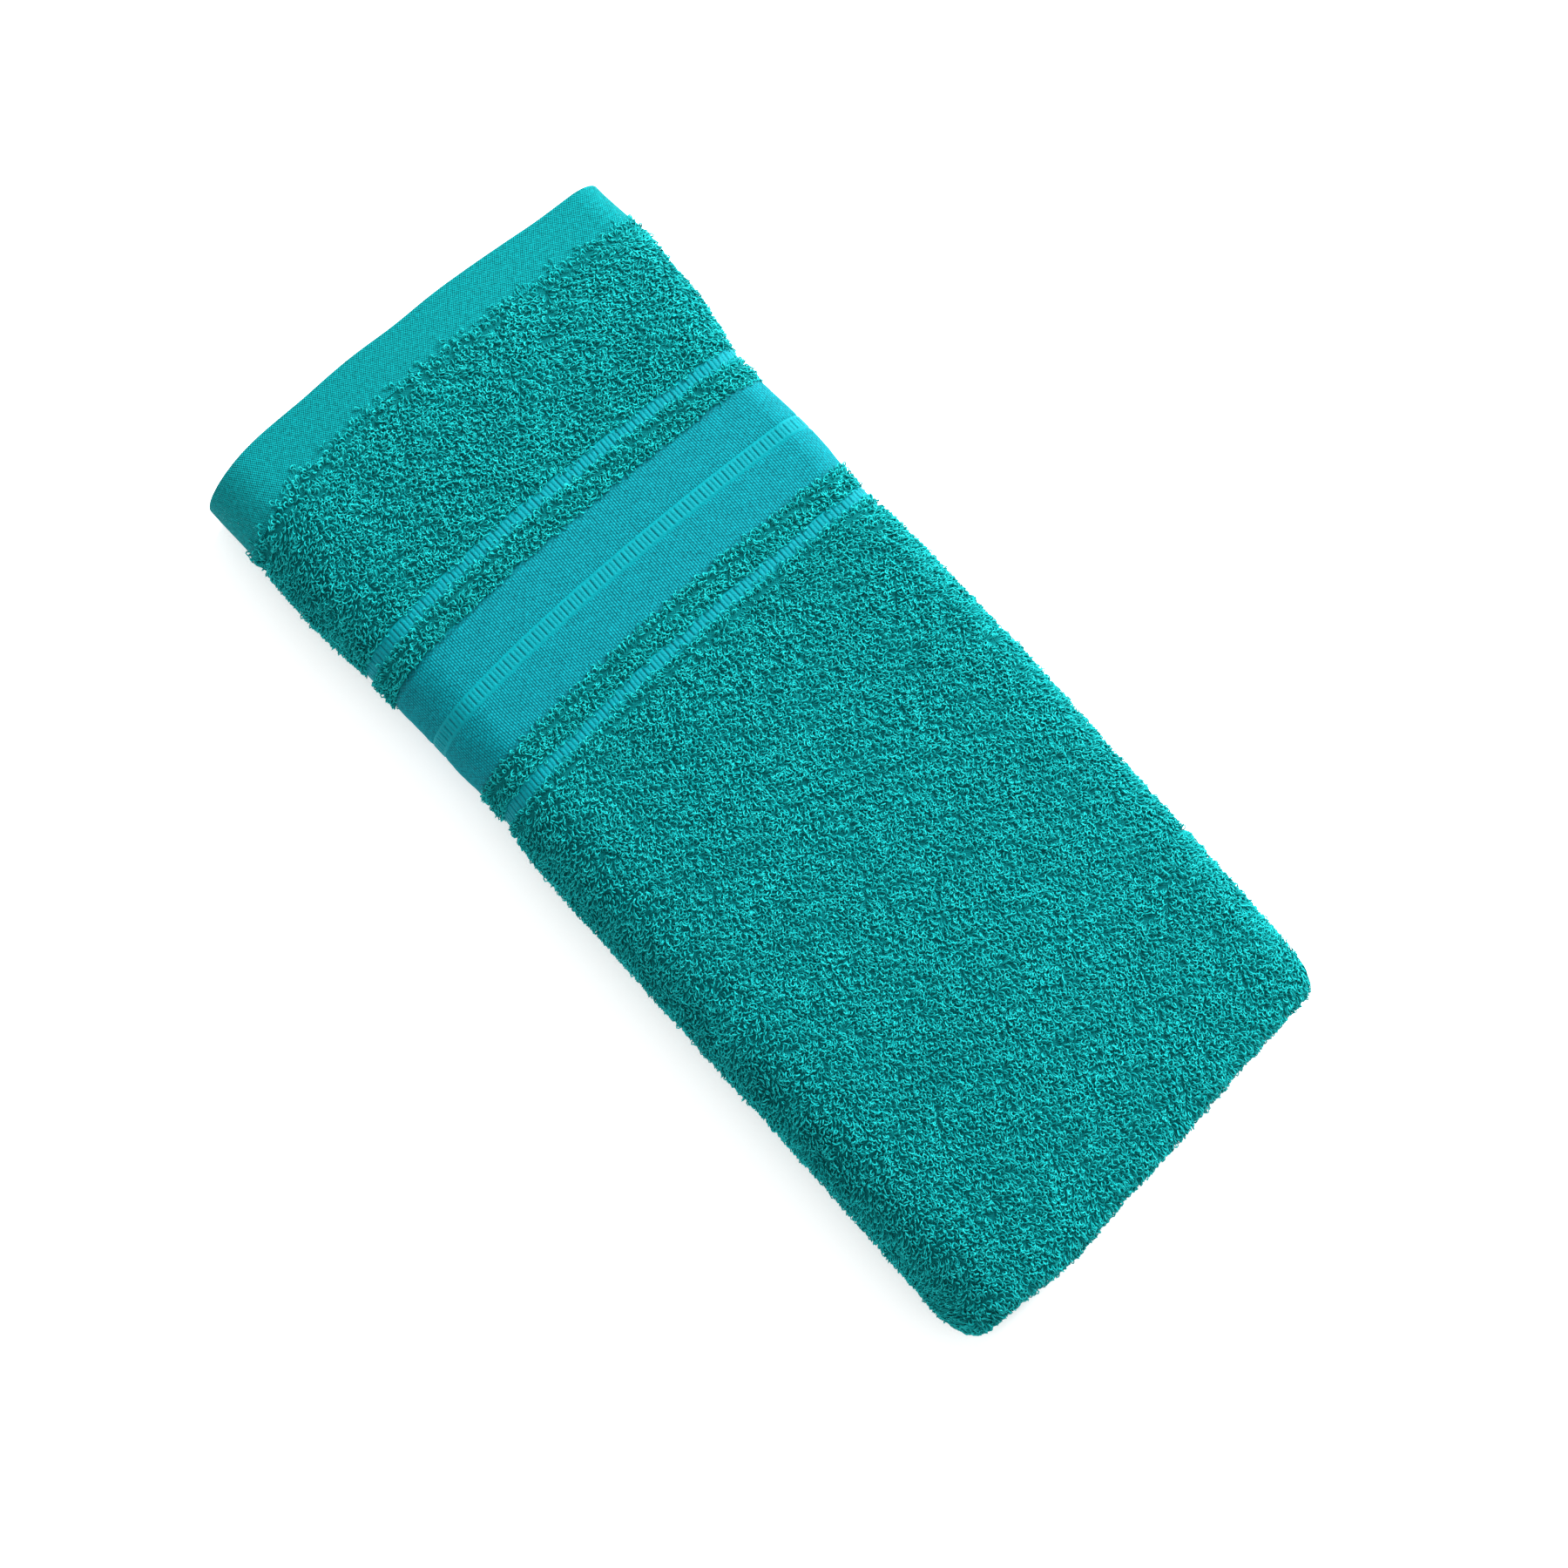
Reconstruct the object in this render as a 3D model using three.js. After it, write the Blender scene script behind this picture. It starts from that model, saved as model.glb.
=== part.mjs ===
// A folded terry bath towel, 700 x 1500 mm, in three.js. Units are millimetres and +Z is up.
//
// The cloth is folded in four along its length into a strip of four leaves, and the strip is
// folded in four across its width, so the bundle is sixteen leaves thick. It lies with its width
// along X and its length along Y. The round end folds face -Y, the hems face +Y, the last fold
// made is the big roll along -X, and the fold before it is the smaller roll along +X.
//
// The last fold opens like a book: the upper half turns about a line beside the big roll.
// Each leaf, each fold and each band of a different weave is a solid of its own.
import * as THREE from 'three';

// Driving dimensions
const FOLDED_WIDTH = 178;
const FOLDED_LENGTH = 393;
const LEAF_THICKNESS = 2.45; // two faces of loops on the ground cloth
const GAP = 0.3; // between any two neighbouring solids
const LEAVES_PER_QUARTER = 4;
const QUARTERS = 4;
const FIRST_HEM_SET_BACK = 2.5; // the hem of the second leaf lies a little inside the top one
const BACK_FOLD_SET_BACK = 3; // the fold between the hems lies inside both
const SELVEDGE_SET_BACK = 2; // the selvedges lie a little inside the roll above them
const ARC_STEPS = 16;

// Bands of the end that shows on top, from the hem inwards: name, length and thickness
const END_BANDS = [
  { name: 'hem_band', length: 20.4, thickness: 1.6, weave: 'hem' },
  { name: 'end_terry', length: 58.5, thickness: LEAF_THICKNESS, weave: 'terry' },
  { name: 'outer_ladder_stripe', length: 5.8, thickness: 1.3, weave: 'ladder' },
  { name: 'outer_terry_strip', length: 9.6, thickness: LEAF_THICKNESS, weave: 'terry' },
  { name: 'outer_flat_border', length: 19.7, thickness: 1.2, weave: 'border' },
  { name: 'centre_ladder_stripe', length: 6.7, thickness: 1.3, weave: 'ladder' },
  { name: 'inner_flat_border', length: 19.7, thickness: 1.2, weave: 'border' },
  { name: 'inner_terry_strip', length: 9.6, thickness: LEAF_THICKNESS, weave: 'terry' },
  { name: 'inner_ladder_stripe', length: 5.8, thickness: 1.3, weave: 'ladder' },
];
const THREAD_DIAMETER = 0.5; // the lockstitch that closes the hem
const THREAD_FROM_BAND_END = 2.2;

// Values that follow from them
const PITCH = LEAF_THICKNESS + GAP;
const LEAF_COUNT = LEAVES_PER_QUARTER * QUARTERS;
const HEIGHT = LEAF_COUNT * PITCH - GAP;
const QUARTER_RADIUS = (LEAVES_PER_QUARTER * PITCH - GAP) / 2;
const PAIR_RADIUS = (2 * PITCH - GAP) / 2;
const BIG_ROLL_RADIUS = HEIGHT / 2;
const SMALL_ROLL_RADIUS = (2 * LEAVES_PER_QUARTER * PITCH - GAP) / 2;
const X_MIN = -FOLDED_WIDTH / 2;
const X_MAX = FOLDED_WIDTH / 2;
const Y_MIN = -FOLDED_LENGTH / 2;
const Y_MAX = FOLDED_LENGTH / 2;
const BIG_ROLL_X = X_MIN + BIG_ROLL_RADIUS;
const SMALL_ROLL_X = X_MAX - SMALL_ROLL_RADIUS;
const END_FOLD_Y = Y_MIN + QUARTER_RADIUS;
const BACK_FOLD_Y = Y_MAX - BACK_FOLD_SET_BACK - PAIR_RADIUS;

const COLOURS = { terry: 0x0f9394, hem: 0x1ab0b5, border: 0x0ba2ae, ladder: 0x07a4af, thread: 0x1fa3a8 };
const ROUGHNESS = { terry: 0.95, hem: 0.8, border: 0.55, ladder: 0.6, thread: 0.7 };

const X_AXIS = new THREE.Vector3(1, 0, 0);
const Y_AXIS = new THREE.Vector3(0, 1, 0);
const Z_AXIS = new THREE.Vector3(0, 0, 1);

const towel = new THREE.Group();

function addMesh(name, geometry, weave) {
  const material = new THREE.MeshStandardMaterial({
    color: COLOURS[weave],
    roughness: ROUGHNESS[weave],
    metalness: 0,
  });
  const mesh = new THREE.Mesh(geometry, material);
  mesh.name = name;
  towel.add(mesh);
  return mesh;
}

// A flat piece of cloth between two corners
function addSlab(name, x, y, z, weave = 'terry') {
  const mesh = addMesh(name, new THREE.BoxGeometry(x[1] - x[0], y[1] - y[0], z[1] - z[0]), weave);
  mesh.position.set((x[0] + x[1]) / 2, (y[0] + y[1]) / 2, (z[0] + z[1]) / 2);
}

// The section of a roll, drawn towards +X: a half ring, or a half disc where the cloth closes on itself
function rollSection(outer, inner) {
  const section = new THREE.Shape();
  section.absarc(0, 0, outer, -Math.PI / 2, Math.PI / 2, false);
  if (inner > GAP) {
    section.absarc(0, 0, inner, Math.PI / 2, -Math.PI / 2, true);
  }
  return section;
}

function rollGeometry(outer, inner, depth) {
  return new THREE.ExtrudeGeometry(rollSection(outer, inner), {
    depth,
    bevelEnabled: false,
    curveSegments: ARC_STEPS,
  });
}

// A roll that runs along X and bulges towards +Y or -Y
function addEndFold(name, x, y, z, outer, inner, side) {
  const geometry = rollGeometry(outer, inner, x[1] - x[0]);
  geometry.applyMatrix4(new THREE.Matrix4().makeBasis(Y_AXIS, Z_AXIS, X_AXIS));
  const mesh = addMesh(name, geometry, 'terry');
  mesh.position.set(side > 0 ? x[0] : x[1], y, z);
  if (side < 0) {
    mesh.rotation.z = Math.PI;
  }
}

// A roll that runs along Y and bulges towards +X or -X
function addSideFold(name, x, y, z, outer, inner, side) {
  const geometry = rollGeometry(outer, inner, y[1] - y[0]);
  geometry.applyMatrix4(new THREE.Matrix4().makeBasis(X_AXIS, Z_AXIS, Y_AXIS.clone().negate()));
  const mesh = addMesh(name, geometry, 'terry');
  mesh.position.set(x, side > 0 ? y[1] : y[0], z);
  if (side < 0) {
    mesh.rotation.z = Math.PI;
  }
}

function leafZ(index, thickness = LEAF_THICKNESS) {
  return [index * PITCH, index * PITCH + thickness];
}

// The bands of the leaf that shows, laid from the hem towards the end fold
function addBandedLeaf(prefix, x, index) {
  let y = Y_MAX;
  for (const band of END_BANDS) {
    addSlab(prefix + band.name, x, [y - band.length, y - GAP], leafZ(index, band.thickness), band.weave);
    y -= band.length;
  }
  addSlab(prefix + 'terry_panel', x, [END_FOLD_Y + GAP, y - GAP], leafZ(index));
}

// The row of stitches that holds the turned hem, lying on the hem band
function addHemThread(name, x, index) {
  const hem = END_BANDS[0];
  const y = Y_MAX - hem.length + THREAD_FROM_BAND_END;
  const z = leafZ(index)[0] + hem.thickness + GAP;
  addSlab(name, x, [y, y + THREAD_DIAMETER], [z, z + THREAD_DIAMETER], 'thread');
}

// One quarter of the width: four leaves and the three folds that join them along the towel's length.
// In the first and third quarter from the top the end leaf lies uppermost, in the others lowermost.
function addQuarter(prefix, base, x, endLeafUp, banded) {
  const index = (i) => base + (endLeafUp ? LEAVES_PER_QUARTER - 1 - i : i);
  const middleZ = (a, b) => (leafZ(a)[0] + leafZ(b)[1]) / 2;
  const centreZ = middleZ(base, base + LEAVES_PER_QUARTER - 1);
  const backFoldZ = middleZ(Math.min(index(2), index(3)), Math.max(index(2), index(3)));
  const front = END_FOLD_Y + GAP;

  if (banded) {
    addBandedLeaf(prefix, x, index(0));
  } else {
    addSlab(prefix + 'outer_hem_leaf', x, [front, Y_MAX], leafZ(index(0)));
  }
  addSlab(prefix + 'inner_hem_leaf', x, [front, Y_MAX - FIRST_HEM_SET_BACK], leafZ(index(1)));
  addSlab(prefix + 'inner_middle_leaf', x, [front, BACK_FOLD_Y - GAP], leafZ(index(2)));
  addSlab(prefix + 'outer_middle_leaf', x, [front, BACK_FOLD_Y - GAP], leafZ(index(3)));

  addEndFold(prefix + 'outer_end_fold', x, END_FOLD_Y, centreZ, QUARTER_RADIUS, QUARTER_RADIUS - LEAF_THICKNESS, -1);
  addEndFold(prefix + 'inner_end_fold', x, END_FOLD_Y, centreZ, PAIR_RADIUS, 0, -1);
  addEndFold(prefix + 'back_fold', x, BACK_FOLD_Y, backFoldZ, PAIR_RADIUS, 0, 1);
}

// Nested rolls, one for each leaf, outermost first
function addSideRoll(prefix, x, z, radius, count, side) {
  const y = [END_FOLD_Y, BACK_FOLD_Y];
  for (let leaf = 0; leaf < count; leaf += 1) {
    const outer = radius - leaf * PITCH;
    addSideFold(prefix + (leaf + 1), x, y, z, outer, outer - LEAF_THICKNESS, side);
  }
}

const foldedX = [BIG_ROLL_X + GAP, SMALL_ROLL_X - GAP];
const edgeX = [BIG_ROLL_X + GAP, X_MAX - SELVEDGE_SET_BACK];
const halfZ = 2 * LEAVES_PER_QUARTER * PITCH;

addQuarter('top_', 3 * LEAVES_PER_QUARTER, foldedX, true, true);
addHemThread('top_hem_thread', foldedX, LEAF_COUNT - 1);
addQuarter('second_', 2 * LEAVES_PER_QUARTER, foldedX, false, false);
addQuarter('third_', LEAVES_PER_QUARTER, edgeX, true, false);
addQuarter('bottom_', 0, edgeX, false, false);
addSideRoll('right_fold_', SMALL_ROLL_X, halfZ + SMALL_ROLL_RADIUS, SMALL_ROLL_RADIUS, LEAVES_PER_QUARTER, 1);
addSideRoll('left_fold_', BIG_ROLL_X, HEIGHT / 2, BIG_ROLL_RADIUS, 2 * LEAVES_PER_QUARTER, -1);

export default towel;
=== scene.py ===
import math

import bpy
import numpy as np
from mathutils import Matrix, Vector


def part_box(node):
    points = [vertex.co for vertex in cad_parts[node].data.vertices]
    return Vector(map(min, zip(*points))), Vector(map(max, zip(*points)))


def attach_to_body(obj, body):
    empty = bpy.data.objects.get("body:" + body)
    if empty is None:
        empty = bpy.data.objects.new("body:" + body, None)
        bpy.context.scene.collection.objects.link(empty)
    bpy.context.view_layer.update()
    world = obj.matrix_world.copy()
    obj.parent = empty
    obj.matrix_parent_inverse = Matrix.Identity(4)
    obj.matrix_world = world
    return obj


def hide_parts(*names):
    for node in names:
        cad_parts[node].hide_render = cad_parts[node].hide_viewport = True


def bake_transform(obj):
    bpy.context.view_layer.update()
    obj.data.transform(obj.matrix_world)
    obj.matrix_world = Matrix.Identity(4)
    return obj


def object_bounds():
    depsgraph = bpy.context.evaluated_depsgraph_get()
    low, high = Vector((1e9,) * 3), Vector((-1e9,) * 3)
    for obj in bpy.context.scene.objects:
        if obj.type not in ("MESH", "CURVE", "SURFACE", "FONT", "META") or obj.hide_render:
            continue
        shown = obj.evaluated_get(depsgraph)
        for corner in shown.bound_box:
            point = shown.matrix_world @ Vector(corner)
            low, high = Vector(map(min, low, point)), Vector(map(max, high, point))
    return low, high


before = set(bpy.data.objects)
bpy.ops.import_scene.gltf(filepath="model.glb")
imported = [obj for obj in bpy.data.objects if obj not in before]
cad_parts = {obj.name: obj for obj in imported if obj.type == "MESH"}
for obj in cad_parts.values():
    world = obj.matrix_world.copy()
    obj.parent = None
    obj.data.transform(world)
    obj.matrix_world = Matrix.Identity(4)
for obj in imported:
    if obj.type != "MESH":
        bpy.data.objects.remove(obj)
cad_low, cad_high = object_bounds()
chance = np.random.default_rng(29)

MM = 0.001

# ---------------------------------------------------------------- sizes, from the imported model


def low(node):
    """The low corner of a CAD solid's box."""
    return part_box(node)[0]


def high(node):
    """The high corner of a CAD solid's box."""
    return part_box(node)[1]


leaf_pitch = low("top_terry_panel").z - low("top_inner_hem_leaf").z
leaf_gap = leaf_pitch - (high("top_terry_panel").z - low("top_terry_panel").z)
half_width = (cad_high.x - cad_low.x) / 2
half_length = (cad_high.y - cad_low.y) / 2
height = cad_high.z
left_roll_x = low("top_terry_panel").x - leaf_gap
right_roll_x = high("top_terry_panel").x + leaf_gap
selvedge_x = high("bottom_outer_hem_leaf").x
end_fold_y = low("top_terry_panel").y - leaf_gap
back_fold_y = high("top_outer_middle_leaf").y + leaf_gap
inner_hem_y = high("top_inner_hem_leaf").y
hem_y = cad_high.y

# The bands of the towel's end, as distances from its hem
BANDS = (
    "hem_band",
    "end_terry",
    "outer_ladder_stripe",
    "outer_terry_strip",
    "outer_flat_border",
    "centre_ladder_stripe",
    "inner_flat_border",
    "inner_terry_strip",
    "inner_ladder_stripe",
)
band_span = {}
band_start = 0.0
for band in BANDS:
    band_end = hem_y - low("top_" + band).y
    band_span[band] = (band_start, band_end)
    band_start = band_end
panel_start = band_start

# ---------------------------------------------------------------- the way the cloth is folded

# A course is the line that the cloth follows, as straight legs and half turns end to end.
# Along the towel's length it runs in (y, height in the four-leaf strip), and across the
# towel's width it runs in (x, z) and carries that strip.


def leg(start, end):
    """A straight part of a course."""
    return {"start": start, "end": end, "length": math.dist(start, end)}


def half_turn(centre, radius, start, sense):
    """Half a circle, from the angle start, turning left if sense is 1 and right if it is -1."""
    return {"centre": centre, "radius": radius, "start": start, "sense": sense, "length": math.pi * radius}


def length_course():
    """From the towel's inner end to the hem that shows, through four leaves."""
    inner, outer = leaf_pitch / 2, 1.5 * leaf_pitch
    up = math.pi / 2
    return [
        leg((inner_hem_y, inner), (end_fold_y, inner)),
        half_turn((end_fold_y, 0), inner, up, 1),
        leg((end_fold_y, -inner), (back_fold_y, -inner)),
        half_turn((back_fold_y, -leaf_pitch), inner, up, -1),
        leg((back_fold_y, -outer), (end_fold_y, -outer)),
        half_turn((end_fold_y, 0), outer, -up, -1),
        leg((end_fold_y, outer), (hem_y, outer)),
    ]


def width_course():
    """From the side edge at the bottom to the one inside, through four layers of the strip."""
    middle, quarter = height / 2, 2 * leaf_pitch
    up = math.pi / 2
    return [
        leg((selvedge_x, middle - 3 * quarter), (left_roll_x, middle - 3 * quarter)),
        half_turn((left_roll_x, middle), 3 * quarter, -up, -1),
        leg((left_roll_x, middle + 3 * quarter), (right_roll_x, middle + 3 * quarter)),
        half_turn((right_roll_x, middle + 2 * quarter), quarter, up, -1),
        leg((right_roll_x, middle + quarter), (left_roll_x, middle + quarter)),
        half_turn((left_roll_x, middle), quarter, up, 1),
        leg((left_roll_x, middle - quarter), (selvedge_x, middle - quarter)),
    ]


def follow(course, distance):
    """The point on a course at each distance along it, and the side that the cloth's face looks to."""
    starts = np.cumsum([0.0] + [part["length"] for part in course])
    which = np.clip(np.searchsorted(starts, distance, side="right") - 1, 0, len(course) - 1)
    p, q = np.zeros_like(distance), np.zeros_like(distance)
    face_p, face_q = np.zeros_like(distance), np.zeros_like(distance)
    for i, part in enumerate(course):
        here = which == i
        share = (distance[here] - starts[i]) / part["length"]
        if "radius" in part:
            sense = part["sense"]
            angle = part["start"] + sense * math.pi * share
            p[here] = part["centre"][0] + part["radius"] * np.cos(angle)
            q[here] = part["centre"][1] + part["radius"] * np.sin(angle)
            face_p[here], face_q[here] = -sense * np.cos(angle), -sense * np.sin(angle)
        else:
            (p0, q0), (p1, q1) = part["start"], part["end"]
            p[here], q[here] = p0 + share * (p1 - p0), q0 + share * (q1 - q0)
            face_p[here], face_q[here] = -(q1 - q0) / part["length"], (p1 - p0) / part["length"]
    return p, q, face_p, face_q


lengthwise = length_course()
crosswise = width_course()
cloth_length = sum(part["length"] for part in lengthwise)
cloth_width = sum(part["length"] for part in crosswise)

# Where each part of the folded width starts and ends, as distances across the cloth
SPANS = ("bottom", "left_outer", "top", "right", "second", "left_inner", "third")
across = {}
reached = 0.0
for span, part in zip(SPANS, crosswise):
    across[span] = (reached, reached + part["length"])
    reached += part["length"]

# The end leaf lies off the strip's middle, so it is longer round a roll that it wraps and shorter
# inside one. Threads are counted along that leaf.
leaf_reach = {"left_outer": 1.25, "right": 1.75, "left_inner": 0.25}
course_marks = np.array([across[s][0] for s in SPANS] + [cloth_width])
thread_marks = np.cumsum([0.0] + [leaf_reach.get(s, 1.0) * (across[s][1] - across[s][0]) for s in SPANS])


def threads_at(course_distance):
    """The distance across the end leaf's threads, for a distance across the folded strip."""
    return np.interp(course_distance, course_marks, thread_marks)


def course_at(thread_distance):
    """The other way round from threads_at."""
    return np.interp(thread_distance, thread_marks, course_marks)


# ---------------------------------------------------------------- how the bundle settles

# How far out each side lies of the neat bundle's, in mm, at distances from the hem in mm: the cloth is
# pinched in at the thin flat bands and spreads a little towards both ends
LEFT_SIDE = (
    (0, 1.6), (25, 0.8), (48, 1.0), (85, -1.4), (125, -2.6),
    (148, -3.9), (172, -1.8), (230, -2.2), (320, -3.3), (393, -3.0),
)
RIGHT_SIDE = (
    (0, 1.6), (25, 3.2), (50, 1.6), (85, -3.0), (125, -0.9),
    (150, -1.9), (175, -0.5), (235, 0.7), (320, 0.2), (393, -1.0),
)
# How far the bands lie askew at each end, as a slope, and how far they bow at each side, in mm
HEM_SKEW = -0.045
FRONT_SKEW = 0.09
RIGHT_BOW = 4.2
LEFT_BOW = 8.0
# How the round corners of the end fold are cut, in mm
RIGHT_CORNER = 10
LEFT_CORNER = 15
CORNER_DEPTH = 34
# The end fold's distance from the hem, and where its bulge starts, in mm
FOLD_AT = 2 * half_length / MM
BULGE_FROM = 300
FLOOR_SQUASH = 0.35 * MM


def ease(value, start, end):
    """A smooth change from 0 at start to 1 at end."""
    t = np.clip((value - start) / (end - start), 0, 1)
    return t * t * (3 - 2 * t)


def hump(value, centre, width):
    """A smooth rise to 1 at the centre and down again."""
    return np.exp(-(((value - centre) / width) ** 2))


def profile(distance, knots):
    """A smooth line through (distance, value) knots."""
    total = np.full_like(distance, knots[0][1])
    for (start, before), (end, after) in zip(knots[:-1], knots[1:]):
        total += (after - before) * ease(distance, start, end)
    return total


# In the next three functions from_hem is in mm, and side is -1 at the left side and 1 at the right.


def sideways_shift(from_hem, side):
    """How far the sides wander in and out, in mm."""
    right = profile(from_hem, RIGHT_SIDE) * ease(side, 0.1, 1)
    left = profile(from_hem, LEFT_SIDE) * ease(side, -0.1, -1)
    return right - left


def endways_shift(from_hem, side):
    """How far the cloth moves towards the hem, in mm: the bands lie askew and bow, the hem's edge
    waves, and the end fold bulges away from the hem, most of all left of the middle."""
    near_hem = np.clip(1 - from_hem / FOLD_AT, 0, 1)
    off_middle = side * half_width / MM
    skew = off_middle * (HEM_SKEW * near_hem + FRONT_SKEW * (1 - near_hem))
    bow = np.where(side > 0, RIGHT_BOW, LEFT_BOW) * side**2 * near_hem**1.5
    hem_spread = 2.5 * ease(from_hem, 70, 0)
    left_corner_lag = 5.0 * ease(side, -0.65, -1) * hump(from_hem, 26, 16)
    hem_wave = 1.6 * ease(side, -0.4, -0.75) + 1.7 * ease(side, 0.65, 1) - 0.9 * hump(side, 0, 0.16)
    bulge = 2.6 + 2.2 * hump(side, -0.4, 0.24) + 1.4 * hump(side, 0.1, 0.25) - 2.6 * hump(side, -0.84, 0.15)
    radius = np.where(side > 0, RIGHT_CORNER, LEFT_CORNER)
    into_corner = np.clip((np.abs(off_middle) - half_width / MM + radius) / radius, 0, 1)
    corner_cut = radius * (1 - np.sqrt(1 - 0.98 * into_corner**2))
    shift = skew - bow + hem_spread - left_corner_lag
    shift += hem_wave * ease(from_hem, 30, 0)
    shift -= bulge * ease(from_hem, BULGE_FROM, FOLD_AT)
    shift += corner_cut * ease(from_hem, FOLD_AT - CORNER_DEPTH, FOLD_AT)
    return shift


def settled_height(from_hem, side, z):
    """The height of the soft bundle: a crown that is thinner at the hems, with slow waves in the
    surface, and pile pressed flat below."""
    sag = np.where(side < 0, 0.12, 0.05) * side**2 + 0.10 * ease(from_hem, 70, -5)
    waves = 0.55 * np.sin(from_hem / 23 + 2.2 * side) * np.cos(3.1 * side + 0.5)
    waves += 0.45 * np.sin(from_hem / 57 - 1.3 * side + 0.8)
    settled = z * (1 - sag) + waves * MM * (z / height) ** 2
    pressed = FLOOR_SQUASH * np.exp(np.clip(settled / FLOOR_SQUASH - 1, -6, 0))
    return np.where(settled < FLOOR_SQUASH, pressed, settled)


def settle(x, y, z):
    """Moves points of the neatly folded cloth to where the soft bundle lies."""
    from_hem = (half_length - y) / MM
    side = x / half_width
    settled_x = x + MM * sideways_shift(from_hem, side)
    settled_y = y + MM * endways_shift(from_hem, side)
    return np.stack([settled_x, settled_y, settled_height(from_hem, side, z)], axis=-1)


def place(course_distance, length_distance, lift):
    """Where a point lies: by its distances across and along the cloth, and its height above it."""
    y, h, face_y, face_h = follow(lengthwise, length_distance)
    x, z, strip_x, strip_z = follow(crosswise, course_distance)
    y = y + lift * face_y
    h = h + lift * face_h
    return settle(x + h * strip_x, y, z + h * strip_z)


# ---------------------------------------------------------------- meshes


def new_piece(name, points, quads, material, marks=None):
    """A smooth mesh of four-sided faces. marks are named values for each point, for its material."""
    mesh = bpy.data.meshes.new(name)
    mesh.vertices.add(len(points))
    mesh.vertices.foreach_set("co", points.astype(np.float32).ravel())
    mesh.loops.add(quads.size)
    mesh.loops.foreach_set("vertex_index", quads.astype(np.int32).ravel())
    mesh.polygons.add(len(quads))
    mesh.polygons.foreach_set("loop_start", np.arange(0, quads.size, 4, dtype=np.int32))
    mesh.polygons.foreach_set("use_smooth", np.ones(len(quads), bool))
    for mark, values in (marks or {}).items():
        kind = "FLOAT_VECTOR" if values.ndim == 2 else "FLOAT"
        layer = mesh.attributes.new(mark, kind, "POINT")
        layer.data.foreach_set("vector" if values.ndim == 2 else "value", values.astype(np.float32).ravel())
    mesh.update(calc_edges=True)
    mesh.materials.append(material)
    piece = bpy.data.objects.new(name, mesh)
    bpy.context.scene.collection.objects.link(piece)
    return piece


def stations(course, start, end, flat_step, turn_step):
    """Distances from start to end, closer together where the course turns."""
    found = [start, end]
    reached = 0.0
    for part in course:
        step = turn_step if "radius" in part else flat_step
        count = max(2, math.ceil(part["length"] / step))
        found.extend(reached + part["length"] * np.arange(count + 1) / count)
        reached += part["length"]
    found = np.unique(np.round([d for d in found if start - 1e-9 <= d <= end + 1e-9], 7))
    keep = np.concatenate([[True], np.diff(found) > 0.05 * MM])
    return found[keep]


def thin_sheet(name, course_stops, length_stops, face, back, material, painted_relief_shade=None, one_skin=False):
    """A closed thin sheet of cloth. face and back give the heights of its two sides, and the shading
    function, if given, how light its raised threads are painted, from 0 to 1: painted light on top and
    painted shade between. Its narrow sides share points only if one_skin is set."""
    c, d = np.meshgrid(course_stops, length_stops)
    shape = c.shape
    c, d = c.ravel(), d.ravel()
    upper = place(c, d, face(c, d))
    under = place(c, d, back(c, d))
    points = np.concatenate([upper, under])
    index = np.arange(c.size).reshape(shape)
    grid = np.stack([index[:-1, :-1], index[:-1, 1:], index[1:, 1:], index[1:, :-1]], -1).reshape(-1, 4)
    rim = np.concatenate([index[0, :], index[1:, -1], index[-1, -2::-1], index[-2:0:-1, 0]])
    twin = rim + c.size
    threads = np.stack([threads_at(c) / MM, (cloth_length - d) / MM, np.zeros_like(c)], -1)
    threads = np.concatenate([threads, threads])
    # how light each point is painted: painted light on raised threads and painted shade between them, with
    # an even middle tone on backs and plain sheets
    light = np.full(c.size, 0.6) if painted_relief_shade is None else painted_relief_shade(c, d)
    light = np.concatenate([light, np.full(c.size, 0.6)])
    copied = np.concatenate([rim, twin])
    if not one_skin:
        points, threads, light = (np.concatenate([v, v[copied]]) for v in (points, threads, light))
        rim = 2 * c.size + np.arange(rim.size)
        twin = rim + rim.size
    sides = np.stack([rim, twin, np.roll(twin, -1), np.roll(rim, -1)], -1)
    quads = np.concatenate([grid, grid[:, ::-1] + c.size, sides])
    return new_piece(name, points, quads, material, {"threads": threads, "painted_relief_shade": light})


def rounded_edge(distance_in, thickness):
    """Half the thickness of a sheet near its rounded edge."""
    half = thickness / 2
    inside = np.clip(distance_in / half, 0, 1)
    return half * np.sqrt(np.clip(1 - (1 - inside) ** 2, 0.02, 1))


def slow_noise(x, y, wavelength, seed):
    """A smooth field from about -1 to 1 that changes over roughly one wavelength."""
    dice = np.random.default_rng(seed)
    total = np.zeros_like(x)
    for _ in range(7):
        heading, phase = dice.uniform(0, 2 * math.pi, 2)
        pace = 2 * math.pi / (wavelength * dice.uniform(0.7, 1.6))
        total += np.sin(pace * (x * math.cos(heading) + y * math.sin(heading)) + phase)
    return total / 3.5


def tube_walls(count, sides, steps, along_first):
    """The faces of count tubes, each of steps + 1 rings of points. The corners run along the tube
    first if along_first is set and round it first if not, whichever makes the faces look outwards."""
    step, spot = np.meshgrid(np.arange(steps), np.arange(sides), indexing="ij")
    a, b = step * sides + spot, step * sides + (spot + 1) % sides
    corners = [a, a + sides, b + sides, b] if along_first else [a, b, b + sides, a + sides]
    wall = np.stack(corners, -1).reshape(-1, 4)
    first_points = np.arange(count) * (steps + 1) * sides
    return (first_points[:, None, None] + wall).reshape(-1, 4)


# Each loop's yarn turns through this angle either way from its top
LOOP_TURN = math.radians(156)


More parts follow.
